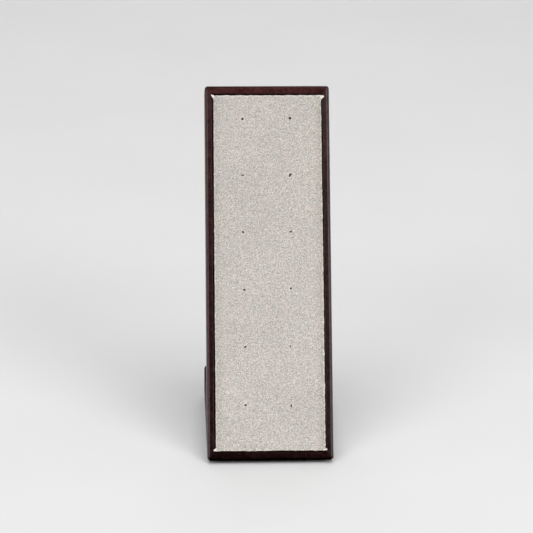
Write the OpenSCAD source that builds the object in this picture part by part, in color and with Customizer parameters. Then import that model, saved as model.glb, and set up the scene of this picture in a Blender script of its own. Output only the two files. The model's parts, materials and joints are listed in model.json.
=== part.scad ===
// Display stand for pairs of stud earrings: a leaning board with a suede pad in a recess,
// carried by a low foot. Millimetres. X runs across, +Y runs to the back, +Z is up.
// The origin is in the middle of the footprint, on the surface that the stand rests on.

/* [Board] */
// Width of the board and of the foot
face_w = 60; // [54:1:80]
// Height of the board's face, measured up its slope
face_h = 180; // [176:1:240]
// Thickness of the board and of the foot
board_t = 14; // [12:0.5:18]
// Angle by which the board leans back from upright
lean = 28; // [22:2:30]
// Radius of the long outer edges
edge_r = 1.5; // [0.8:0.1:1.8]
// Radius of the four corners of the face, and of the foot's corners
corner_r = 1.8; // [0.6:0.1:2]

/* [Rim] */
// Width of the two side strips
rim_side_w = 3.3; // [3:0.1:6]
// Width of the top and bottom strips
rim_end_w = 3.9; // [3.5:0.1:6]
// Depth of the recess that the strips stand round
recess_d = 4.1; // [4:0.1:4.6]
// Radius of the strips' inner edge
inner_edge_r = 0.2; // [0.2:0.1:0.8]

/* [Pad] */
// Gap between the pad and the strips, before the pad is shifted
pad_gap = 0.65; // [0.3:0.05:1]
// Distance of the pad's middle to the right of the board's middle
pad_shift = 0.15; // [-0.25:0.05:0.25]
// Depth of the suede's face below the face of the strips
pad_setback = 0.2; // [0:0.05:0.5]
// Thickness of the suede
suede_t = 0.7; // [0.5:0.05:1]
// Width of the suede's turn-in behind the pad board
turn_in = 8; // [6:0.5:9]
// Gap that the glue fills between glued faces
glue_t = 0.05; // [0.02:0.01:0.1]

/* [Earring holes] */
// Number of rows of holes
row_count = 6; // [3:1:6]
// Distance from the top of the face to the top row
top_row_drop = 15.8; // [15:0.1:20]
// Distance from one row to the next
row_pitch = 27.6; // [12:0.1:28]
// Distance between the left and the right column
column_gap = 22.3; // [16:0.1:28]
// Distance of the columns' middle to the right of the board's middle
column_shift = -0.7; // [-2:0.1:2]
// Diameter of each hole
hole_d = 1.2; // [1:0.1:1.6]
// Depth of each hole from the suede's face
hole_depth = 10; // [8:0.5:11]

/* [Foot] */
// Distance from the board's front edge to the foot's rear end
foot_reach = 79.5; // [70:0.5:100]
// Distance of the two foot screws from the board's middle
screw_x = 18; // [10:0.5:20]
// Height of the foot screws, measured up the board's face
screw_up = 19; // [17:0.5:20]
// Length of the foot screws
screw_l = 25; // [20:1:25]

/* [Bumper dots] */
// Diameter of each dot
dot_d = 8; // [6:0.5:9]
// Thickness of each dot
dot_t = 2; // [1:0.1:3]
// Distance of the dots from the board's middle
dot_x = 21; // [12:0.5:24]
// Distance of the front dots behind the board's front edge
dot_front_in = 10.2; // [10:0.1:11]
// Distance of the rear dots from the foot's rear end
dot_rear_in = 8; // [6:0.5:12]

/* [Hidden] */
$fn = 64;

half_w = face_w / 2;

// Lengths by which cutting shapes run past what they cut
past = 10;
far = 2 * face_h;

// Lacquer, suede and hardboard colours
front_lacquer = [0.17, 0.08, 0.07];
body_lacquer = [0.15, 0.07, 0.06];
suede_colour = [0.60, 0.56, 0.53];
hardboard_colour = [0.30, 0.27, 0.24];

// Where the board's rounded front edge and its rounded top rear edge reach, before centring
toe_r = 1.0;
front_reach = toe_r * (tan(lean) + 1 / cos(lean) - 1);
rear_reach = (face_h - edge_r) * sin(lean) + (board_t - edge_r) * cos(lean) + edge_r;
middle_y = (front_reach + rear_reach) / 2;

// The pad's stack, as depths below the face of the strips
suede_back = pad_setback + suede_t;
board_front = suede_back + glue_t;
lining_back = recess_d - glue_t;
lining_front = lining_back - suede_t;
board_back = lining_front - glue_t;

pad_w = face_w - 2 * (rim_side_w + pad_gap);
pad_low = rim_end_w + pad_gap;
pad_high = face_h - rim_end_w - pad_gap;
wrap = suede_t + glue_t;

// Foot screw
screw_head_r = 3.4;
screw_head_h = 2.1;
screw_shank_r = 1.7;
screw_root_r = 1.15;
thread_pitch = 1.5;
thread_start = 9;
screw_tip_l = 4;
screw_fit = 0.05;
screw_sink = 0.1;
cross_w = 0.9;
cross_l = 3.6;
cross_depth = 1.3;

// ---- Frames ----

// Turns a shape drawn with the board upright, its face at Y = 0, into the leaning board's place
module on_board() {
    translate([0, -middle_y, dot_t])
        rotate([-lean, 0, 0])
            children();
}

// Places a shape measured from the board's front edge, with Z = 0 at the underside of the wood
module on_foot() {
    translate([0, -middle_y, dot_t])
        children();
}

// Extrudes an outline in the Y-Z plane across the whole width
module across() {
    translate([-half_w, 0, 0])
        rotate([90, 0, 90])
            linear_extrude(face_w)
                children();
}

// ---- Outlines ----

// The sliver between a square corner at the origin and the arc that rounds it
module corner_sliver(r) {
    difference() {
        square(r);
        translate([r, r])
            circle(r);
    }
}

// Rectangle from the origin with its own radius at the low-Y side and at the high-Y side
module eased_rectangle(w, h, r_low, r_high) {
    difference() {
        square([w, h]);
        corner_sliver(r_low);
        translate([w, 0])
            mirror([1, 0])
                corner_sliver(r_low);
        translate([0, h])
            mirror([0, 1])
                corner_sliver(r_high);
        translate([w, h])
            rotate(180)
                corner_sliver(r_high);
    }
}

// The board from the side, upright: depth along X, height along Y, with its foot end cut
// so that it is level once the board leans
module board_side() {
    toe = [toe_r, toe_r * (1 + sin(lean)) / cos(lean)];
    toe_low = toe + toe_r * [sin(lean), -cos(lean)];
    difference() {
        square([board_t, face_h]);
        translate([0, face_h])
            mirror([0, 1])
                corner_sliver(edge_r);
        translate([board_t, face_h])
            rotate(180)
                corner_sliver(edge_r);
        polygon([[0, 0], [far, 0], [far, far * tan(lean)]]);
        difference() {
            polygon([[0, 0], [0, toe.y], toe, toe_low]);
            translate(toe)
                circle(toe_r);
        }
    }
}

// ---- Board and rim ----

// Outer form of the board with its rim, upright: its side outline, its cross-section, its
// rounded top corners, and the rounded long edges of its level underside
module board_form() {
    intersection() {
        across()
            board_side();
        translate([-half_w, 0, 0])
            linear_extrude(face_h)
                eased_rectangle(face_w, board_t, edge_r, edge_r);
        translate([-half_w, board_t, -past])
            rotate([90, 0, 0])
                linear_extrude(board_t)
                    eased_rectangle(face_w, face_h + past, corner_r, corner_r);
        rotate([lean, 0, 0])
            translate([-half_w, far, 0])
                rotate([90, 0, 0])
                    linear_extrude(2 * far)
                        eased_rectangle(face_w, far, toe_r, toe_r);
    }
}

// Centres of all the earring holes on the upright face
hole_places = [
    for (side = [-1, 1], row = [0 : row_count - 1])
        [column_shift + side * column_gap / 2, face_h - top_row_drop - row * row_pitch]
];

// One drilling that every piece of the pad and the board shares
module earring_holes() {
    for (place = hole_places)
        translate([place.x, pad_setback - past, place.y])
            rotate([-90, 0, 0])
                cylinder(d = hole_d, h = past + hole_depth);
}

module core_board() {
    color(body_lacquer)
        on_board()
            difference() {
                intersection() {
                    board_form();
                    translate([-face_w, recess_d, -past])
                        cube([2 * face_w, board_t, face_h + 2 * past]);
                }
                earring_holes();
                screw_places()
                    screw_hole();
            }
}

// Corners of the recess, and of the 45 degree mitres that run outwards from them
inner_x = half_w - rim_side_w;
inner_low = rim_end_w;
inner_high = face_h - rim_end_w;
outer_x = inner_x + past;
outer_low = inner_low - past;
outer_high = inner_high + past;

// A strip of the rim: the part of the board's form in front of the core, inside a mitred
// outline in the face's plane. The child eases the strip's inner edge
module rim_strip(outline) {
    color(front_lacquer)
        on_board()
            difference() {
                intersection() {
                    board_form();
                    translate([0, recess_d, 0])
                        rotate([90, 0, 0])
                            linear_extrude(recess_d)
                                polygon(outline);
                }
                children();
            }
}

module side_strip(side) {
    rim_strip([
        [side * outer_x, outer_low],
        [side * inner_x, inner_low],
        [side * inner_x, inner_high],
        [side * outer_x, outer_high]
    ])
        translate([side * inner_x, 0, 0])
            linear_extrude(face_h)
                rotate(side > 0 ? 0 : 90)
                    corner_sliver(inner_edge_r);
}

module end_strip(inner, outer) {
    rim_strip([[-outer_x, outer], [-inner_x, inner], [inner_x, inner], [outer_x, outer]])
        across()
            translate([0, inner])
                mirror([0, outer < inner ? 1 : 0])
                    corner_sliver(inner_edge_r);
}

module rim_left() {
    side_strip(-1);
}

module rim_right() {
    side_strip(1);
}

module rim_top() {
    end_strip(inner_high, outer_high);
}

module rim_bottom() {
    end_strip(inner_low, outer_low);
}

// ---- Pad ----

// Block of the pad between two depths, smaller than the pad's outline by inset all round
module pad_block(inset, front, back) {
    translate([pad_shift + inset - pad_w / 2, front, pad_low + inset])
        cube([pad_w - 2 * inset, back - front, pad_high - pad_low - 2 * inset]);
}

module pad_board() {
    color(hardboard_colour)
        on_board()
            difference() {
                pad_block(wrap, board_front, board_back);
                earring_holes();
            }
}

// Suede over the face and the sides of the pad board, turned in behind it
module suede_cover() {
    color(suede_colour)
        on_board()
            difference() {
                pad_block(0, pad_setback, lining_back);
                pad_block(suede_t, suede_back, lining_front);
                pad_block(turn_in, suede_back, recess_d);
                earring_holes();
            }
}

// Double-sided foam sheet inside the turn-in
module adhesive_sheet() {
    color("whitesmoke")
        on_board()
            difference() {
                pad_block(turn_in + pad_gap, lining_front, lining_back);
                earring_holes();
            }
}

// ---- Foot ----

// The foot from the side: its front end is bevelled to lie against the leaning board
module foot_side() {
    heel = board_t / cos(lean);
    difference() {
        polygon([
            [heel, 0],
            [foot_reach, 0],
            [foot_reach, board_t],
            [heel + board_t * tan(lean), board_t]
        ]);
        translate([foot_reach, 0])
            mirror([1, 0])
                corner_sliver(toe_r);
        translate([foot_reach, board_t])
            rotate(180)
                corner_sliver(edge_r);
    }
}

module foot_plate() {
    color(body_lacquer)
        difference() {
            on_foot()
                intersection() {
                    across()
                        foot_side();
                    translate([-half_w, foot_reach, 0])
                        rotate([90, 0, 0])
                            linear_extrude(foot_reach)
                                eased_rectangle(face_w, board_t, toe_r, edge_r);
                    translate([-half_w, 0, 0])
                        linear_extrude(board_t)
                            eased_rectangle(face_w, foot_reach, corner_r, corner_r);
                }
            on_board()
                screw_places()
                    screw_hole();
        }
}

// Both screws go in square to the board, from the floor of the recess
module screw_places() {
    for (side = [-1, 1])
        translate([side * screw_x, recess_d + screw_sink, screw_up])
            rotate([-90, 0, 0])
                children();
}

// Countersink, clearance hole and pilot hole in one
module screw_hole() {
    translate([0, 0, -past])
        cylinder(r = screw_head_r + screw_fit, h = past);
    cylinder(r1 = screw_head_r + screw_fit, r2 = screw_shank_r + screw_fit, h = screw_head_h);
    cylinder(r = screw_shank_r + screw_fit, h = screw_l - screw_tip_l);
    translate([0, 0, screw_l - screw_tip_l])
        cylinder(r1 = screw_shank_r + screw_fit, r2 = 0, h = screw_tip_l + screw_fit);
}

// Half section of a wood screw: flat head, shank, thread ridges and a point
thread_turns = floor((screw_l - screw_tip_l - thread_start) / thread_pitch);
screw_section = concat(
    [[0, 0], [screw_head_r, 0], [screw_shank_r, screw_head_h - screw_fit]],
    [[screw_shank_r, thread_start], [screw_root_r, thread_start]],
    [
        for (turn = [0 : thread_turns - 1], edge = [0.5, 1])
            [edge < 1 ? screw_shank_r : screw_root_r, thread_start + (turn + edge) * thread_pitch]
    ],
    [[screw_root_r, screw_l - screw_tip_l], [0, screw_l]]
);

module foot_screws() {
    color("silver")
        on_board()
            screw_places()
                difference() {
                    rotate_extrude()
                        polygon(screw_section);
                    for (turn = [0, 90])
                        rotate(turn)
                            translate([-cross_l / 2, -cross_w / 2, -past])
                                cube([cross_l, cross_w, cross_depth + past]);
                }
}

// ---- Bumper dots ----

dot_edge_r = 0.4;

// A soft disc with an eased lower edge, its flat underside at Z = 0
module bumper_dot(x, y) {
    color("dimgray")
        translate([x, y - middle_y, 0])
            rotate_extrude()
                difference() {
                    square([dot_d / 2, dot_t]);
                    translate([dot_d / 2, 0])
                        mirror([1, 0])
                            corner_sliver(dot_edge_r);
                }
}

module dot_front_left() {
    bumper_dot(-dot_x, dot_front_in);
}

module dot_front_right() {
    bumper_dot(dot_x, dot_front_in);
}

module dot_rear_left() {
    bumper_dot(-dot_x, foot_reach - dot_rear_in);
}

module dot_rear_right() {
    bumper_dot(dot_x, foot_reach - dot_rear_in);
}

core_board();
rim_left();
rim_right();
rim_top();
rim_bottom();
pad_board();
suede_cover();
adhesive_sheet();
foot_plate();
foot_screws();
dot_front_left();
dot_front_right();
dot_rear_left();
dot_rear_right();
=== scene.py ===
"""Looks of a counter-top stand for six pairs of stud earrings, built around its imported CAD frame.

A leaning lacquered board carries a suede pad in a shallow recess framed by four strips, and a low
foot behind it keeps it up. The CAD nodes stay as they are and get their materials here. The suede
is rebuilt as one pierced, wrapped sheet with puckered holes and dog-eared corners.
Lengths are in metres.
"""

import json
import math

import bpy
from mathutils import Matrix, Vector, noise


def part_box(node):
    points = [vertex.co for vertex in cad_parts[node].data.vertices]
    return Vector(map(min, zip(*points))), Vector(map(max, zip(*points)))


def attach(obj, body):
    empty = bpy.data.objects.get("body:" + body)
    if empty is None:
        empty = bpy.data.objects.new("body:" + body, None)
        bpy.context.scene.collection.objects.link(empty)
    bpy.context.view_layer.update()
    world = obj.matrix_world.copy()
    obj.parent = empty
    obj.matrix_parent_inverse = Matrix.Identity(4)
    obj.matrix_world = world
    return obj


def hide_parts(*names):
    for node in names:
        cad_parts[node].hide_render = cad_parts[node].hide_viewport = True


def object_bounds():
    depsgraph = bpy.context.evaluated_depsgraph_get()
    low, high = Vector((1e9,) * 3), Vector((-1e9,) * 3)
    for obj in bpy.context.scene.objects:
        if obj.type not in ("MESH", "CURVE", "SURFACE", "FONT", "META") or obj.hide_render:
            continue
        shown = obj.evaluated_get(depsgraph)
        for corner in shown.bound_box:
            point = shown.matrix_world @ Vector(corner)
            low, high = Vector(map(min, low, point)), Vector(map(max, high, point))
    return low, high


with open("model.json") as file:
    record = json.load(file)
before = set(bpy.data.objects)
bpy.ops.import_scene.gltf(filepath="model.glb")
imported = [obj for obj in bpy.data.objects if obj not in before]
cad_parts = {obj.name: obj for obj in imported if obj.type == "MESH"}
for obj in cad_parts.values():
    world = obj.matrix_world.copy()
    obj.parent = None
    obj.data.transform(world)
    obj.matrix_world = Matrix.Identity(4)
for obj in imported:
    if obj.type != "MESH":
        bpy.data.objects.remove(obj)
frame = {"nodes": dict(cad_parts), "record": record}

NODES = frame["nodes"]
MM = 0.001
cad_low, cad_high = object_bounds()

# ---------------------------------------------------------------- directions of the leaning face

MOUNTS = {mount["name"]: mount for mount in frame["record"]["mounts"]}
ACROSS = Vector((1, 0, 0))
OUT = Vector(MOUNTS["earring_hole_left_1"]["axis"]).normalized()
UP_SLOPE = OUT.cross(ACROSS)
LEAN = math.atan2(UP_SLOPE.y, UP_SLOPE.z)


def reach(node, direction):
    """Lowest and highest reach of a CAD node along a direction."""
    along = [vertex.co.dot(direction) for vertex in NODES[node].data.vertices]
    return min(along), max(along)


# ---------------------------------------------------------------- suede cover

# The sheet's thickness, the radius of its folded edge, of the pad's corners seen from the front and
# of the crease inside the fold, and how far the sheet turns in behind the pad's board.
SUEDE_T = 0.7 * MM
FOLD_R = 0.4 * MM
CORNER_R = 0.45 * MM
CREASE_R = 0.06 * MM
TURN_IN = 8 * MM
# The face's grid: its steps in the band along the edges, its steps between, and how many cells wide
# the square block round each hole is.
FINE_STEP = 0.2 * MM
FINE_BAND = 2.4 * MM
FACE_STEP = 0.5 * MM
BLOCK = 8
# Rings round the fold, down the side and across the turn-in, and how far down its first step the
# side's first ring lies.
FOLD_STEPS = 8
SIDE_STEPS = 5
TURN_STEPS = 6
SIDE_START = 0.1

# The folded edge's slow swells, its short waves and its tuck, and the face's swells and pile.
EDGE_SWELL = 0.18 * MM
EDGE_WAVE = 0.85 * MM
EDGE_TUCK = 0.25 * MM
FACE_WAVE = 0.10 * MM
PILE_WAVE = 0.035 * MM
# Distance from the outline in which the face's unevenness rises, and the tuck near the ends.
RISE_BAND = 3 * MM
# The noise behind them and behind the worn fold: its scale, and the row that it reads. The seed
# picks the place where all of them are read.
GRAIN_SEED = Vector((3.1, 7.7, 1.9))
FACE_NOISE = (17 * MM, 0.0)
PILE_NOISE = (1.3 * MM, 5.0)
SWELL_NOISE = (13 * MM, 9.0)
WAVE_NOISE = (1.7 * MM, 12.0)
PALE_NOISE = (1.4 * MM, 21.0)

# Paleness, where 0 is plain suede and 1 or more is fully pale, partly from worn nap and partly a
# painted highlight where the folded edge and the ears catch the light: the worn fold's mean, how
# much it varies, how wide it is on the face and how deep on the side, the sides below it and the
# turn-in, and the tips of the ears.
FOLD_PALE = 0.55
FOLD_PALE_VARIES = 1.6
FOLD_PALE_BAND = 0.3 * MM
FOLD_PALE_DEPTH = 1.2 * FOLD_R
HIDDEN_PALE = 0.3
EAR_PALE = 1.25
# Round a hole: how much the painted highlight on the lip pales and the painted shade at the cut edge
# darkens, and how far each reaches.
LIP_HIGHLIGHT = (0.45, 0.5 * MM)
CUT_SHADE = (1.5, 0.10 * MM)

# How each hole was pierced, from the top row down: how far across and up the slope it sits off the
# drilled hole, the length of its slit, the slit's turn from level, and half its width. Lengths are in
# mm and turns in degrees.
PIERCED = {
    "left": [
        (-0.1, -0.3, 0.15, 0, 0.43),
        (-0.2, 0.0, 0.5, 8, 0.22),
        (-0.3, 0.1, 0.5, -50, 0.28),
        (0.1, -0.1, 0.2, 0, 0.35),
        (0.3, 0.2, 0.5, 55, 0.29),
        (0.2, 0.1, 0.1, 0, 0.36),
    ],
    "right": [
        (0.5, 0.0, 0.15, 0, 0.50),
        (0.3, -0.1, 0.9, 55, 0.36),
        (0.2, 0.2, 0.55, 20, 0.26),
        (0.0, 0.4, 0.15, 0, 0.32),
        (-0.5, 0.3, 0.2, 70, 0.24),
        (-0.4, -0.5, 0.6, 80, 0.22),
    ],
}
# The raised lip round a hole, how far from its edge it stands, and the dip down into the hole.
LIP_H = 0.10 * MM
LIP_AT = 0.45 * MM
LIP_W = 0.28 * MM
DIP_H = 0.45 * MM
DIP_W = 0.22 * MM
# How much farther out a hole's edge is on the sheet's inner side.
HOLE_FLARE = 0.1 * MM
# Where the rings of a hole lie, from the block's border at 1 to the hole's edge at 0.
HOLE_SHARES = (0.72, 0.5, 0.34, 0.22, 0.14, 0.08, 0.035, 0.0)

# The folded corners that stick out over the frame: which corner, how far the tip reaches across and
# up, how much of the long side and of the short end each takes up, all in mm, and how blunt the tip
# is.
EARS = [
    {"corner": (-1, 1), "tip": (-1.50, 0.70), "side": 1.4, "end": 0.5, "blunt": 1.1},
    {"corner": (1, 1), "tip": (1.50, -0.30), "side": 1.9, "end": 0.4, "blunt": 1.1},
    {"corner": (-1, -1), "tip": (-1.40, 0.05), "side": 1.0, "end": 0.4, "blunt": 0.8},
    {"corner": (1, -1), "tip": (1.05, 0.15), "side": 0.8, "end": 0.4, "blunt": 0.6},
]
# Heights of an ear's tip and of its underside over the face, the share of the tip's reach that is
# left under it, the share of the tip's height at its root, and how soon it lifts.
EAR_TOP = 0.38 * MM
EAR_UNDER = 0.20 * MM
EAR_NECK = 0.28
EAR_ROOT = 0.3
EAR_LIFT = 2.5
# The side bulges along half a sine wave as long as the pad is deep, which starts this share of the
# depth above the face.
BULGE_LEAD = 0.2


def smooth(t):
    """Eases from 0 to 1 as t goes from 0 to 1."""
    t = max(0.0, min(1.0, t))
    return t * t * (3 - 2 * t)


def bell(distance, width):
    """Falls from 1 at no distance to almost 0 at twice the width."""
    return math.exp(-((distance / width) ** 2))


def wander(along, across, scale, row):
    """Slow noise from 0 to 1, the same on each run."""
    return 0.5 + 0.5 * noise.noise(Vector((along / scale, across / scale, row)) + GRAIN_SEED)


class Pad:
    """The suede's own frame: u across and v up the slope from the middle, w out of the face."""

    def __init__(self):
        low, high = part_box("suede_cover")
        self.w_back, self.w_front = reach("suede_cover", OUT)
        v_low, v_high = reach("suede_cover", UP_SLOPE)
        self.u_mid, self.v_mid = (low.x + high.x) / 2, (v_low + v_high) / 2
        self.half_w, self.half_h = (high.x - low.x) / 2, (v_high - v_low) / 2
        self.depth = self.w_front - self.w_back
        self.inner_w, self.inner_h = self.half_w - FOLD_R, self.half_h - FOLD_R

    def place(self, u, v, w):
        """A point of the pad in the row frame; w is measured from the suede's face."""
        return ACROSS * (self.u_mid + u) + UP_SLOPE * (self.v_mid + v) + OUT * (self.w_front + w)

    def local(self, point):
        """u and v of a point of the row frame."""
        point = Vector(point)
        return point.x - self.u_mid, point.dot(UP_SLOPE) - self.v_mid


PAD = Pad()


class Lines:
    """Grid lines across one side of the face, from its middle: fine near both ends, even between."""

    def __init__(self, half):
        self.first = round(FINE_BAND / FINE_STEP)
        even = 2 * (half - FINE_BAND)
        cells = round(even / FACE_STEP)
        self.step = even / cells
        self.start = FINE_BAND - half
        self.at = [k * FINE_STEP - half for k in range(self.first)]
        self.at += [self.start + k * self.step for k in range(cells + 1)]
        self.at += [half - FINE_BAND + (k + 1) * FINE_STEP for k in range(self.first)]
        self.last = len(self.at) - 1

    def block(self, middle):
        """The first line of the block of cells that is centred nearest to a place."""
        return self.first + round((middle - self.start) / self.step) - BLOCK // 2


class SheetMesh:
    """Collects the suede's outer points, the inner point behind each, its quads and how pale it is
    from wear and painted highlight, where below 0 is painted shade."""

    def __init__(self):
        self.outer, self.inner, self.faces, self.rims, self.pale = [], [], [], [], []

    def add(self, outer, inner, pale):
        """An outer and an inner point, each as u, v and w, and how pale the suede is there."""
        self.outer.append(PAD.place(*outer))
        self.inner.append(PAD.place(*inner))
        self.pale.append(pale)
        return len(self.outer) - 1

    def bridge(self, around, within):
        """Quads between two closed loops of as many points, both running anticlockwise."""
        for k in range(len(around)):
            after = (k + 1) % len(around)
            self.faces.append((around[k], around[after], within[after], within[k]))

    def close_hole(self, loop):
        """Joins the outer surface to the inner one round a pierced hole."""
        self.rims.append(("hole", loop))

    def close_end(self, loop):
        """Joins the outer surface to the inner one along the end of the turn-in."""
        self.rims.append(("end", loop))

    def build(self, name):
        """The closed sheet as a mesh, with its paleness as an attribute."""
        behind = len(self.outer)
        faces = list(self.faces)
        faces += [tuple(behind + point for point in reversed(face)) for face in self.faces]
        for kind, loop in self.rims:
            for k, point in enumerate(loop):
                after = loop[(k + 1) % len(loop)]
                face = (point, after, behind + after, behind + point)
                faces.append(face if kind == "hole" else face[::-1])
        data = bpy.data.meshes.new(name)
        data.from_pydata(self.outer + self.inner, [], faces)
        data.attributes.new("wear_highlight_shade", "FLOAT", "POINT").data.foreach_set("value", self.pale * 2)
        data.polygons.foreach_set("use_smooth", [True] * len(data.polygons))
        return data


def pierced_holes():
    """Every pierced hole in the pad's frame: its middle, half of its slit, and half its width."""
    holes = []
    for side, rows in PIERCED.items():
        for row, (off_u, off_v, slit, turn, half_width) in enumerate(rows, start=1):
            u, v = PAD.local(MOUNTS[f"earring_hole_{side}_{row}"]["pos_m"])
            heading = Vector((math.cos(math.radians(turn)), math.sin(math.radians(turn))))
            middle = Vector((u + off_u * MM, v + off_v * MM))
            holes.append((middle, heading * (slit * MM / 2), half_width * MM))
    return holes


def lip_height(gap):
    """Height at a distance from a hole's edge: pushed down into it, with a raised lip round it."""
    return LIP_H * bell(gap - LIP_AT, LIP_W) - DIP_H * bell(gap, DIP_W)


def hole_highlight_and_shade(gap):
    """Paleness at a distance from a hole's edge: painted shade darkens the cut edge down into the
    hole, and a painted highlight pales the lip round it.
    """
    paled, lip_highlight_width = LIP_HIGHLIGHT
    dark, cut_shade_width = CUT_SHADE
    return paled * bell(gap, lip_highlight_width) - dark * bell(gap, cut_shade_width)


def from_outline(u, v):
    """Distance of a place on the face from the start of the fold."""
    return min(PAD.inner_w - abs(u), PAD.inner_h - abs(v))


def face_height(u, v):
    """Unevenness of the stretched suede: slow swells and the pile's clumps, never below its face."""
    swell = FACE_WAVE * wander(u, v, *FACE_NOISE)
    clump = PILE_WAVE * wander(u, v, *PILE_NOISE)
    return (swell + clump) * smooth(from_outline(u, v) / RISE_BAND)


def edge_push(u, v):
    """How far the folded edge bulges out, or is pressed in, at a place on the outline. The upper
    half of the sides is tucked in."""
    swell = EDGE_SWELL * (wander(u, v, *SWELL_NOISE) - 0.5)
    wave = EDGE_WAVE * (wander(u, v, *WAVE_NOISE) - 0.5)
    tuck = EDGE_TUCK * smooth(v / PAD.inner_h) * smooth((PAD.inner_h - abs(v)) / RISE_BAND)
    return swell + wave - tuck


def edge_pale(u, v):
    """How pale the fold is at a place on the outline, from worn nap and a painted highlight."""
    return max(0.0, FOLD_PALE + FOLD_PALE_VARIES * (wander(u, v, *PALE_NOISE) - 0.5))


def ear_at(u, v):
    """The ear that a place near the outline belongs to, and its share of that ear from 0 to 1."""
    for ear in EARS:
        side, end = ear["corner"]
        from_side, from_end = PAD.inner_w - side * u, PAD.inner_h - end * v
        share = 1 - from_end / (ear["side"] * MM) - from_side / (ear["end"] * MM)
        if share > 0:
            return ear, share ** ear["blunt"]
    return None, 0.0


def outline_point(u, v, offset):
    """A place on the face's outline moved out by an offset, and rounded off near the corners."""
    corner = Vector((math.copysign(PAD.inner_w, u), math.copysign(PAD.inner_h, v)))
    centre = corner - Vector((math.copysign(CORNER_R, u), math.copysign(CORNER_R, v)))
    place = Vector((u, v))
    hair = 1e-9
    if abs(u) > abs(centre.x) + hair and abs(v) > abs(centre.y) + hair:
        return centre + (place - centre).normalized() * (CORNER_R + offset)
    if abs(abs(u) - PAD.inner_w) < hair:
        return place + Vector((math.copysign(offset, u), 0))
    return place + Vector((0, math.copysign(offset, v)))


def turn_in_point(u, v, inset):
    """A place on the face's outline drawn in towards the middle, as the mitred turn-in runs."""
    return u * (1 - inset / PAD.inner_w), v * (1 - inset / PAD.inner_h)


def wrap_rings():
    """The rings round the edge: outer offset and height, inner offset and height, and the ear's own
    reach and height there, or None where the ear has ended."""
    rings = []
    for k in range(1, FOLD_STEPS + 1):
        turn, share = math.radians(90) * k / FOLD_STEPS, k / FOLD_STEPS
        outer = (FOLD_R * math.sin(turn), FOLD_R * (math.cos(turn) - 1))
        inner = (
            FOLD_R - SUEDE_T - CREASE_R * (1 - math.sin(turn)),
            -SUEDE_T - CREASE_R * (1 - math.cos(turn)),
        )
        rings.append((outer, inner, (share, EAR_TOP * share ** 0.5)))
    straight = PAD.depth - 2 * FOLD_R
    inside = PAD.depth - 2 * (SUEDE_T + CREASE_R)
    for k in range(SIDE_STEPS):
        share = (k + SIDE_START) / SIDE_STEPS
        outer = (FOLD_R, -FOLD_R - straight * share)
        inner = (FOLD_R - SUEDE_T, -SUEDE_T - CREASE_R - inside * share)
        rings.append((outer, inner, (EAR_NECK, EAR_UNDER) if k == 0 else None))
    for k in range(FOLD_STEPS // 2 + 1):
        turn = math.radians(90) * k / (FOLD_STEPS // 2)
        outer = (FOLD_R * math.cos(turn), -PAD.depth + FOLD_R * (1 - math.sin(turn)))
        inner = (
            FOLD_R - SUEDE_T - CREASE_R * (1 - math.cos(turn)),
            SUEDE_T - PAD.depth + CREASE_R * (1 - math.sin(turn)),
        )
        rings.append((outer, inner, None))
    return rings


def add_hole(sheet, middle, slit, half_width, u_lines, v_lines, index):
    """Rings from a square block of the face's grid down into one pierced hole."""
    i, j = u_lines.block(middle.x), v_lines.block(middle.y)
    border = [(i + k, j) for k in range(BLOCK)]
    border += [(i + BLOCK, j + k) for k in range(BLOCK)]
    border += [(i + BLOCK - k, j + BLOCK) for k in range(BLOCK)]
    border += [(i, j + BLOCK - k) for k in range(BLOCK)]
    around = [index[cell] for cell in border]
    for share in HOLE_SHARES:
        ring = []
        for a, b in border:
            edge = Vector((u_lines.at[a], v_lines.at[b]))
            away = (edge - middle).normalized()
            along = away.dot(slit.normalized())
            lip = middle + slit * math.copysign(abs(along) ** 0.5, along) + away * half_width
            place = lip.lerp(edge, share)
            gap = (place - lip).length
            height = face_height(*place) + lip_height(gap)
            behind = place + away * (HOLE_FLARE * (1 - share))
            ring.append(sheet.add((*place, height), (*behind, -SUEDE_T), hole_highlight_and_shade(gap)))
        sheet.bridge(around, ring)
        around = ring
    sheet.close_hole(around)


def add_face(sheet):
    """The pad's flat face with its pierced holes. Returns the outline's points and their places."""
    u_lines, v_lines = Lines(PAD.inner_w), Lines(PAD.inner_h)
    holes = pierced_holes()
    blocks = [(u_lines.block(middle.x), v_lines.block(middle.y)) for middle, *_ in holes]
    pierced = {(i + a, j + b) for i, j in blocks for a in range(BLOCK) for b in range(BLOCK)}
    inside = {(i + a, j + b) for i, j in blocks for a in range(1, BLOCK) for b in range(1, BLOCK)}
    index = {}
    for i, u in enumerate(u_lines.at):
        for j, v in enumerate(v_lines.at):
            if (i, j) in inside:
                continue
            height = face_height(u, v) + EAR_ROOT * EAR_TOP * ear_at(u, v)[1]
            pale = edge_pale(u, v) * (1 - smooth(from_outline(u, v) / FOLD_PALE_BAND))
            behind = turn_in_point(u, v, SUEDE_T - FOLD_R)
            index[i, j] = sheet.add((u, v, height), (*behind, -SUEDE_T), pale)
    for hole in holes:
        add_hole(sheet, *hole, u_lines, v_lines, index)
    for i in range(u_lines.last):
        for j in range(v_lines.last):
            if (i, j) not in pierced:
                corners = ((i, j), (i + 1, j), (i + 1, j + 1), (i, j + 1))
                sheet.faces.append(tuple(index[corner] for corner in corners))
    right, top = u_lines.last, v_lines.last
    cells = [(i, 0) for i in range(right)] + [(right, j) for j in range(top)]
    cells += [(right - i, top) for i in range(right)] + [(0, top - j) for j in range(top)]
    places = [(u_lines.at[i], v_lines.at[j]) for i, j in cells]
    return [index[cell] for cell in cells], places


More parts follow.
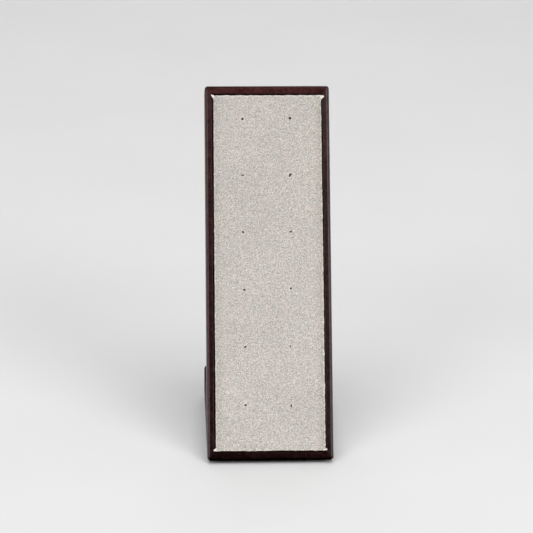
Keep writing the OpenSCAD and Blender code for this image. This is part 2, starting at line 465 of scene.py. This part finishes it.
def wrap_point(u, v, ring):
    """The outer and inner point of a ring of the wrap at a place on the outline, and its paleness."""
    (offset, height), (inner_offset, inner_height), ear_form = ring
    bulge = math.sin(math.pi * min(1.0, BULGE_LEAD - height / PAD.depth))
    place = outline_point(u, v, offset + edge_push(u, v) * bulge)
    ear, share = ear_at(u, v)
    pale = edge_pale(u, v) if height > -FOLD_PALE_DEPTH else HIDDEN_PALE
    if ear and ear_form:
        ear_reach, ear_height = ear_form
        place += Vector(ear["tip"]) * (MM * share * ear_reach)
        lifted = smooth(EAR_LIFT * share)
        height += (ear_height - height) * lifted
        pale += (EAR_PALE - pale) * lifted
    behind = outline_point(u, v, inner_offset)
    return (*place, height), (*behind, inner_height), pale


def add_wrap(sheet, loop, places):
    """The suede's folded edge, side, and mitred turn-in behind the pad's board."""
    for form in wrap_rings():
        ring = [sheet.add(*wrap_point(u, v, form)) for u, v in places]
        sheet.bridge(ring, loop)
        loop = ring
    for k in range(1, TURN_STEPS + 1):
        outer_inset = (TURN_IN - FOLD_R) * k / TURN_STEPS
        crease = SUEDE_T + CREASE_R - FOLD_R
        inner_inset = crease + (TURN_IN - FOLD_R - crease) * k / TURN_STEPS
        ring = []
        for u, v in places:
            outer = (*turn_in_point(u, v, outer_inset), -PAD.depth)
            inner = (*turn_in_point(u, v, inner_inset), SUEDE_T - PAD.depth)
            ring.append(sheet.add(outer, inner, HIDDEN_PALE))
        sheet.bridge(ring, loop)
        loop = ring
    sheet.close_end(loop)


def suede_cover():
    """The whole wrapped, pierced sheet as one closed shell."""
    sheet = SheetMesh()
    add_wrap(sheet, *add_face(sheet))
    data = sheet.build("suede_pad_cover")
    data.materials.append(suede_material())
    piece = bpy.data.objects.new("suede_pad_cover", data)
    bpy.context.scene.collection.objects.link(piece)
    return piece


# ---------------------------------------------------------------- materials


class Nodes:
    """Short helpers for building one node material."""

    def __init__(self, name):
        self.material = bpy.data.materials.new(name)
        self.material.use_nodes = True
        self.tree = self.material.node_tree
        self.shader = self.tree.nodes["Principled BSDF"]

    def node(self, kind, **inputs):
        """A new node. Names with a capital are inputs, others are settings."""
        made = self.tree.nodes.new(kind)
        for name, value in inputs.items():
            if name[0].isupper():
                made.inputs[name.replace("_", " ")].default_value = value
            else:
                setattr(made, name, value)
        return made

    def link(self, source, target):
        self.tree.links.new(source, target)

    def set(self, **inputs):
        for name, value in inputs.items():
            self.shader.inputs[name.replace("_", " ")].default_value = value

    def place(self, scale=(1, 1, 1), tilt=0.0):
        """Coordinates in metres in the row frame, leaned back by tilt and then stretched."""
        where = self.node("ShaderNodeTexCoord").outputs["Object"]
        if tilt:
            turned = self.node("ShaderNodeMapping", Rotation=(tilt, 0, 0))
            self.link(where, turned.inputs["Vector"])
            where = turned.outputs["Vector"]
        mapping = self.node("ShaderNodeMapping", Scale=scale)
        self.link(where, mapping.inputs["Vector"])
        return mapping.outputs["Vector"]

    def coordinate(self, axis):
        """One coordinate of the row frame, in metres: X runs across and Z is the height."""
        parts = self.node("ShaderNodeSeparateXYZ")
        self.link(self.node("ShaderNodeTexCoord").outputs["Object"], parts.inputs["Vector"])
        return parts.outputs[axis]

    def noise(self, vector, scale, detail=2.0, roughness=0.5):
        """Noise from 0 to 1. Scale is in repeats per metre."""
        made = self.node("ShaderNodeTexNoise", Scale=scale, Detail=detail, Roughness=roughness)
        self.link(vector, made.inputs["Vector"])
        return made.outputs["Fac"]

    def ramp(self, value, stops):
        """A colour or grey ramp through (place, colour) stops."""
        made = self.node("ShaderNodeValToRGB")
        elements = made.color_ramp.elements
        while len(elements) < len(stops):
            elements.new(0.5)
        for element, (at, colour) in zip(elements, stops):
            element.position = at
            element.color = (*colour, 1) if hasattr(colour, "__len__") else (colour,) * 3 + (1,)
        self.link(value, made.inputs["Fac"])
        return made.outputs["Color"]

    def spread(self, value, low, high, start=0.0, end=1.0):
        """Maps start..end to low..high, clamped."""
        made = self.node("ShaderNodeMapRange", From_Min=start, From_Max=end, To_Min=low, To_Max=high)
        self.link(value, made.inputs["Value"])
        return made.outputs["Result"]

    def product(self, first, second):
        made = self.node("ShaderNodeMath", operation="MULTIPLY")
        self.link(first, made.inputs[0])
        self.link(second, made.inputs[1])
        return made.outputs["Value"]

    def mix(self, factor, first, second, blend="MIX"):
        """Mixes two colours, which the node takes as its inputs 6 and 7."""
        made = self.node("ShaderNodeMix", data_type="RGBA", blend_type=blend)
        for value, place in ((factor, 0), (first, 6), (second, 7)):
            socket = made.inputs[place]
            if isinstance(value, bpy.types.NodeSocket):
                self.link(value, socket)
            else:
                socket.default_value = value if socket.type == "VALUE" else (*value, 1)
        return made.outputs[2]

    def bump(self, height, distance, strength=1.0, under=None):
        made = self.node("ShaderNodeBump", Distance=distance, Strength=strength)
        self.link(height, made.inputs["Height"])
        if under:
            self.link(under, made.inputs["Normal"])
        return made.outputs["Normal"]

    def finish_with(self, **links):
        for name, socket in links.items():
            self.link(socket, self.shader.inputs[name.replace("_", " ")])
        return self.material


# The suede's colour, and its cream colour where it is pale, partly from wear and partly a painted
# highlight.
SUEDE_COLOUR = (0.5525, 0.5175, 0.4795)
WORN_AND_LIT_COLOUR = (0.84, 0.775, 0.690)
# Painted shade at the holes' cut edges: the share of the colour that is left at the two palenesses.
CUT_SHADE_SHARE = (0.12, 1.0)
CUT_SHADE_PALENESS = (-0.7, 0.0)
# Painted light: the suede is painted brighter towards the foot, standing in for light bounced off the
# floor: its tone at the bottom and at the top of the stand.
SUEDE_PAINTED_BOUNCE = (1.045, 0.960)
# Painted shade: the suede is painted darker towards its sides, where its eased edges turn from the
# light: the band's distances from the edge, and the tints there.
SIDE_SHADE_BAND = (0.4 * MM, 4.0 * MM)
LEFT_SIDE_SHADE = (0.860, 0.860, 0.855)
RIGHT_SIDE_SHADE = (0.860, 0.850, 0.805)
# Painted shade where the lacquer meets the counter: its colour and shine are darkened there as in a
# contact shadow, with their share left at the two heights.
TOE_SHADE_SHARE = (0.30, 1.0)
TOE_SHADE_HEIGHTS = (2.0 * MM, 5.5 * MM)


def paint_side_shade(m, base):
    """The suede's colour with painted shade towards the left and the right edge of the pad."""
    across = m.coordinate("X")
    nearest, farthest = SIDE_SHADE_BAND
    left, right = PAD.u_mid - PAD.half_w, PAD.u_mid + PAD.half_w
    at_left = m.spread(across, 1.0, 0.0, left + nearest, left + farthest)
    at_right = m.spread(across, 0.0, 1.0, right - farthest, right - nearest)
    base = m.mix(1.0, base, m.mix(at_left, (1, 1, 1), LEFT_SIDE_SHADE), "MULTIPLY")
    return m.mix(1.0, base, m.mix(at_right, (1, 1, 1), RIGHT_SIDE_SHADE), "MULTIPLY")


def suede_material():
    """Pale warm grey suede: short pile, faint pink and green mottling, cream folds that are partly
    worn and partly a painted highlight, painted shade at the holes' cut edges and towards the sides,
    and painted bounce light towards the foot."""
    m = Nodes("suede_grey_cream")
    place = m.place(tilt=-LEAN)
    pile = m.noise(place, 2200, 1, 0.6)
    clumps = m.noise(place, 1350, 0, 0.5)
    stain = m.noise(place, 190, 2, 0.5)
    patches = m.noise(place, 45, 3, 0.55)
    tone = m.ramp(patches, [(0.30, 0.955), (0.70, 1.035)])
    # painted bounce light: the suede brighter towards the bottom of the stand
    painted_bounce = m.spread(m.coordinate("Z"), *SUEDE_PAINTED_BOUNCE, cad_low.z, cad_high.z)
    greenish, pinkish = (0.985, 1.008, 1.000), (1.012, 0.992, 0.994)
    hue = m.ramp(stain, [(0.34, greenish), (0.5, (1, 1, 1)), (0.66, pinkish)])
    base = m.mix(1.0, m.mix(1.0, SUEDE_COLOUR, tone, "MULTIPLY"), hue, "MULTIPLY")
    # painted shade towards the left and right edges of the pad
    base = paint_side_shade(m, m.mix(1.0, base, painted_bounce, "MULTIPLY"))
    nap = m.ramp(clumps, [(0.25, 0.91), (0.75, 1.09)])
    speckle = m.ramp(pile, [(0.32, 0.60), (0.5, 1.0), (0.68, 1.34)])
    edge = m.node("ShaderNodeAttribute", attribute_name="wear_highlight_shade").outputs["Fac"]
    # the folds' cream: partly worn nap, partly painted highlight
    paled = m.mix(edge, base, WORN_AND_LIT_COLOUR)
    # painted shade at the holes' cut edges
    paled = m.mix(1.0, paled, m.spread(edge, *CUT_SHADE_SHARE, *CUT_SHADE_PALENESS), "MULTIPLY")
    napped = m.mix(1.0, m.mix(1.0, paled, nap, "MULTIPLY"), speckle, "MULTIPLY")
    relief = m.bump(clumps, 0.10 * MM, 0.5)
    relief = m.bump(pile, 0.06 * MM, 0.6, relief)
    m.set(Roughness=0.95, Sheen_Weight=0.25, Sheen_Roughness=0.45)
    m.shader.inputs["Sheen Tint"].default_value = (1, 0.98, 0.95, 1)
    m.shader.inputs["Specular IOR Level"].default_value = 0.15
    return m.finish_with(Base_Color=napped, Normal=relief)


# The lacquered pieces: which way the grain runs, the darkest and the reddest colour of the lacquer,
# and its gloss, which is its own shine, the share of the clear coat that is left, its roughness, and
# how much its shine and its depth vary from place to place. The four rims are lit and shaded copies
# of one lacquer: the right rim's lighter, greyer colours are painted light and the bottom rim's
# darker ones painted shade.
BACK_DARK = (0.0055, 0.0022, 0.0024)
BACK_RED = (0.021, 0.0056, 0.0046)
LACQUERED = {
    "rim_left": (
        "slope", (0.008, 0.005, 0.0062), (0.015, 0.0066, 0.0074), (0.26, 0.40, 0.33, 0.24),
    ),
    "rim_right": (
        "slope", (0.0095, 0.009, 0.0098), (0.0185, 0.0135, 0.014), (0.23, 0.40, 0.33, 0.20),
    ),
    "rim_top": (
        "level", (0.004, 0.0022, 0.0024), (0.013, 0.0034, 0.0032), (0.38, 0.05, 0.32, 0.38),
    ),
    "rim_bottom": (
        "level", (0.002, 0.0012, 0.0014), (0.0095, 0.0036, 0.0038), (0.22, 0.0, 0.42, 0.42),
    ),
    "core_board": ("slope", BACK_DARK, BACK_RED, (0.4, 0.12, 0.46, 0.25)),
    "foot_plate": ("level", BACK_DARK, BACK_RED, (0.4, 0.04, 0.62, 0.25)),
}
# How the grain is stretched along each run.
GRAIN_STRETCH = {"slope": (1, 1, 0.06), "level": (0.06, 1, 1)}
# The lacquer's own reflection is tinted red, but the clear coat's isn't.
SHINE_TINT = (1.0, 0.32, 0.30, 1)
# The blotches' weakest and strongest noise, and how much they darken and lighten the colour there,
# for each unit of mottling.
BLOTCH_SPAN = (0.32, 0.68)
BLOTCH_CHANGE = (-2.3, 2.6)


def lacquer_material(name, run, dark, red, gloss):
    """Dark red-brown lacquer over wood: grain along the run, filled pores, a soft clear coat, and
    painted shade near the counter.
    """
    shine, coat, roughness, mottle = gloss
    m = Nodes(name)
    place = m.place(scale=GRAIN_STRETCH[run], tilt=-LEAN)
    grain = m.noise(place, 900, 4, 0.6)
    streaks = m.noise(place, 260, 3, 0.5)
    even = m.place()
    blotches = m.noise(even, 560, 2, 0.5)
    peel = m.noise(even, 420, 2, 0.4)
    colour = m.ramp(streaks, [(0.3, dark), (0.7, red)])
    depths = [(at, 1 + change * mottle) for at, change in zip(BLOTCH_SPAN, BLOTCH_CHANGE)]
    depth = m.ramp(blotches, depths)
    toned = m.mix(1.0, colour, depth, "MULTIPLY")
    # painted shade: colour and shine darker towards the counter
    toe_shade = m.spread(m.coordinate("Z"), *TOE_SHADE_SHARE, *TOE_SHADE_HEIGHTS)
    toned = m.mix(1.0, toned, toe_shade, "MULTIPLY")
    pores = m.ramp(grain, [(0.30, 0.35), (0.44, 1.0)])
    base = m.mix(1.0, toned, pores, "MULTIPLY")
    rough = m.spread(streaks, roughness - 0.04, roughness + 0.04, 0.25, 0.75)
    patchy = m.spread(blotches, (1 - mottle) * shine, (1 + mottle) * shine, *BLOTCH_SPAN)
    gleam = m.product(toe_shade, patchy)
    relief = m.bump(grain, 0.02 * MM, 0.35)
    relief = m.bump(peel, 0.06 * MM, 0.25, relief)
    m.set(Metallic=0.0, Coat_Weight=coat, Coat_Roughness=0.10)
    m.shader.inputs["Specular Tint"].default_value = SHINE_TINT
    return m.finish_with(Base_Color=base, Roughness=rough, Specular_IOR_Level=gleam, Normal=relief)


def pad_board_material():
    """Dark grey-brown hardboard with pressed fibres and flecks."""
    m = Nodes("pad_board_hardboard")
    place = m.place(tilt=-LEAN)
    fibres = m.noise(m.place(scale=(1, 1, 0.25), tilt=-LEAN), 900, 4, 0.6)
    flecks = m.noise(place, 2600, 2, 0.5)
    base = m.ramp(fibres, [(0.3, (0.055, 0.045, 0.036)), (0.7, (0.105, 0.088, 0.070))])
    spots = m.ramp(flecks, [(0.28, 0.5), (0.36, 1.0)])
    m.set(Roughness=0.9)
    flecked = m.mix(1.0, base, spots, "MULTIPLY")
    return m.finish_with(Base_Color=flecked, Normal=m.bump(fibres, 0.08 * MM, 0.5))


def adhesive_material():
    """Milky double-sided tape with a few trapped bubbles."""
    m = Nodes("adhesive_milky")
    bubbles = m.noise(m.place(), 700, 2, 0.5)
    haze = m.noise(m.place(), 150, 2, 0.5)
    base = m.ramp(haze, [(0.3, (0.62, 0.58, 0.46)), (0.7, (0.74, 0.70, 0.58))])
    clear = m.ramp(bubbles, [(0.62, 1.0), (0.68, 0.75)])
    m.set(Roughness=0.35)
    bubbly = m.mix(1.0, base, clear, "MULTIPLY")
    return m.finish_with(Base_Color=bubbly, Normal=m.bump(bubbles, 0.03 * MM, 0.5))


def steel_material():
    """Zinc-plated screw steel: fine turned rings and a faint blue cast."""
    m = Nodes("screw_zinc_steel")
    rings = m.noise(m.place(scale=(1, 1, 12), tilt=-LEAN), 700, 3, 0.6)
    dull = m.noise(m.place(), 400, 2, 0.5)
    base = m.ramp(dull, [(0.3, (0.52, 0.54, 0.57)), (0.7, (0.70, 0.71, 0.72))])
    m.set(Metallic=1.0)
    rough = m.spread(rings, 0.22, 0.42, 0.3, 0.7)
    return m.finish_with(Base_Color=base, Roughness=rough, Normal=m.bump(rings, 0.01 * MM, 0.4))


def rubber_material():
    """Moulded black rubber with a dusty bloom."""
    m = Nodes("dot_rubber_black")
    bloom = m.noise(m.place(), 350, 3, 0.5)
    stipple = m.noise(m.place(), 3500, 2, 0.5)
    base = m.ramp(bloom, [(0.35, (0.012, 0.012, 0.013)), (0.75, (0.035, 0.034, 0.033))])
    m.set(Sheen_Weight=0.1)
    rough = m.spread(bloom, 0.55, 0.8, 0.3, 0.7)
    return m.finish_with(Base_Color=base, Roughness=rough, Normal=m.bump(stipple, 0.02 * MM, 0.5))


def floor_material():
    """Plain pale paper, barely uneven."""
    m = Nodes("floor_paper")
    tone = m.noise(m.place(), 9, 3, 0.5)
    fibre = m.noise(m.place(), 900, 2, 0.5)
    base = m.ramp(tone, [(0.3, (0.80, 0.80, 0.80)), (0.7, (0.82, 0.82, 0.82))])
    m.set(Roughness=0.9)
    m.shader.inputs["Specular IOR Level"].default_value = 0.1
    return m.finish_with(Base_Color=base, Normal=m.bump(fibre, 0.02 * MM, 0.2))


def dress(node, material):
    """Gives a CAD node its material, in place of the plain one it came with."""
    slots = NODES[node].material_slots
    for slot in slots:
        slot.link = "OBJECT"
        slot.material = material


def dress_cad_nodes():
    """Materials of every CAD node that stays."""
    rubber = rubber_material()
    finishes = {node: lacquer_material(f"{node}_lacquer", *look) for node, look in LACQUERED.items()}
    finishes |= {"foot_screws": steel_material()}
    finishes |= {"pad_board": pad_board_material(), "adhesive_sheet": adhesive_material()}
    finishes |= {node: rubber for node in NODES if node.startswith("dot_")}
    for node, material in finishes.items():
        dress(node, material)


# ---------------------------------------------------------------- studio

# Where the camera aims, its distance from there, how it looks down, sideways and askew, its lens in
# mm on a sensor 36 mm wide, and the side of the floor.
CAMERA_AIM = Vector((-1.30, -10.40, 85.79)) * MM
CAMERA_DISTANCE = 1.189
CAMERA_PITCH = math.radians(22)
CAMERA_YAW = math.radians(-2.675)
CAMERA_ROLL = math.radians(0.68)
CAMERA_LENS = 168.84
CAMERA_SENSOR = 36
FLOOR_SIDE = 12.0
# How far back a heading points, from and to, and the room's brightness there: dark behind the camera.
ROOM_FADE = (-0.7, 0.6, 0.02, 0.20)
# What the camera sees of the room beyond the floor.
ROOM_SEEN = (0.70, 0.70, 0.70, 1)


def camera():
    """A long lens a little above the stand and slightly to its left."""
    tip = math.radians(90) - CAMERA_PITCH
    turn = Matrix.Rotation(CAMERA_YAW, 3, "Z") @ Matrix.Rotation(tip, 3, "X")
    turn = turn @ Matrix.Rotation(CAMERA_ROLL, 3, "Z")
    data = bpy.data.cameras.new("camera")
    data.lens = CAMERA_LENS
    data.sensor_width = CAMERA_SENSOR
    data.clip_start, data.clip_end = 0.05, 50
    made = bpy.data.objects.new("camera", data)
    backwards = turn @ Vector((0, 0, 1))
    made.matrix_world = Matrix.Translation(CAMERA_AIM + backwards * CAMERA_DISTANCE) @ turn.to_4x4()
    bpy.context.scene.collection.objects.link(made)
    bpy.context.scene.camera = made


def floor():
    """A large level sheet under the rubber dots."""
    half = FLOOR_SIDE / 2
    corners = [(-half, -half, 0), (half, -half, 0), (half, half, 0), (-half, half, 0)]
    data = bpy.data.meshes.new("floor")
    data.from_pydata([Vector(c) + Vector((0, 0, cad_low.z)) for c in corners], [], [(0, 1, 2, 3)])
    data.materials.append(floor_material())
    made = bpy.data.objects.new("floor", data)
    bpy.context.scene.collection.objects.link(made)


def softbox(name, bearing, height, distance, size, power, glint=True):
    """A rectangular soft light facing the stand. Bearing and height are in degrees: bearing 0 is in
    front of the stand and 90 to its right, and height 0 is level with the floor. Distance and size
    are in metres and power in watts. Without a glint it lights but doesn't shine back."""
    turn, rise = math.radians(bearing), math.radians(height)
    level = math.cos(rise) * distance
    place = Vector((math.sin(turn) * level, -math.cos(turn) * level, math.sin(rise) * distance))
    data = bpy.data.lights.new(name, "AREA")
    data.shape = "RECTANGLE"
    data.size, data.size_y = size
    data.energy = power
    made = bpy.data.objects.new(name, data)
    made.visible_glossy = glint
    made.location = place
    made.rotation_euler = ((cad_low + cad_high) / 2 - place).to_track_quat("-Z", "Y").to_euler()
    bpy.context.scene.collection.objects.link(made)


def room():
    """A dim pale room: it fills the shadows a little, and shows pale where the floor ends."""
    world = bpy.data.worlds.new("room")
    world.use_nodes = True
    tree = world.node_tree
    fill = tree.nodes["Background"]
    heading = tree.nodes.new("ShaderNodeTexCoord").outputs["Generated"]
    split = tree.nodes.new("ShaderNodeSeparateXYZ")
    tree.links.new(heading, split.inputs["Vector"])
    brighter = tree.nodes.new("ShaderNodeMapRange")
    for name, value in zip(("From Min", "From Max", "To Min", "To Max"), ROOM_FADE):
        brighter.inputs[name].default_value = value
    tree.links.new(split.outputs["Y"], brighter.inputs["Value"])
    tree.links.new(brighter.outputs["Result"], fill.inputs["Strength"])
    seen = tree.nodes.new("ShaderNodeBackground")
    seen.inputs["Color"].default_value = ROOM_SEEN
    paths = tree.nodes.new("ShaderNodeLightPath")
    either = tree.nodes.new("ShaderNodeMixShader")
    tree.links.new(paths.outputs["Is Camera Ray"], either.inputs["Fac"])
    tree.links.new(fill.outputs["Background"], either.inputs[1])
    tree.links.new(seen.outputs["Background"], either.inputs[2])
    tree.links.new(either.outputs["Shader"], tree.nodes["World Output"].inputs["Surface"])
    bpy.context.scene.world = world


def lights():
    """Soft lights at both front corners, overhead and behind, and weak ones in front and low at each
    side."""
    softbox("light_left", -45, 35, 1.9, (1.0, 1.0), 10.2)
    softbox("light_right", 45, 35, 1.9, (1.0, 1.0), 14.0)
    softbox("light_front", 0, 50, 2.0, (1.2, 0.5), 5.9)
    softbox("light_top", 0, 86, 2.0, (1.4, 1.4), 13.0)
    softbox("light_back", 180, 50, 2.0, (1.5, 1.0), 13.6, glint=False)
    softbox("light_low_left", -86, 9, 1.8, (1.4, 0.42), 6.0)
    softbox("light_low_right", 86, 9, 1.8, (1.4, 0.42), 5.0)
    room()
    bpy.context.scene.view_settings.view_transform = "Standard"


# ---------------------------------------------------------------- assembly of the scene

camera()
floor()
lights()
dress_cad_nodes()

cover = suede_cover()
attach(cover, "root")
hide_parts("suede_cover")
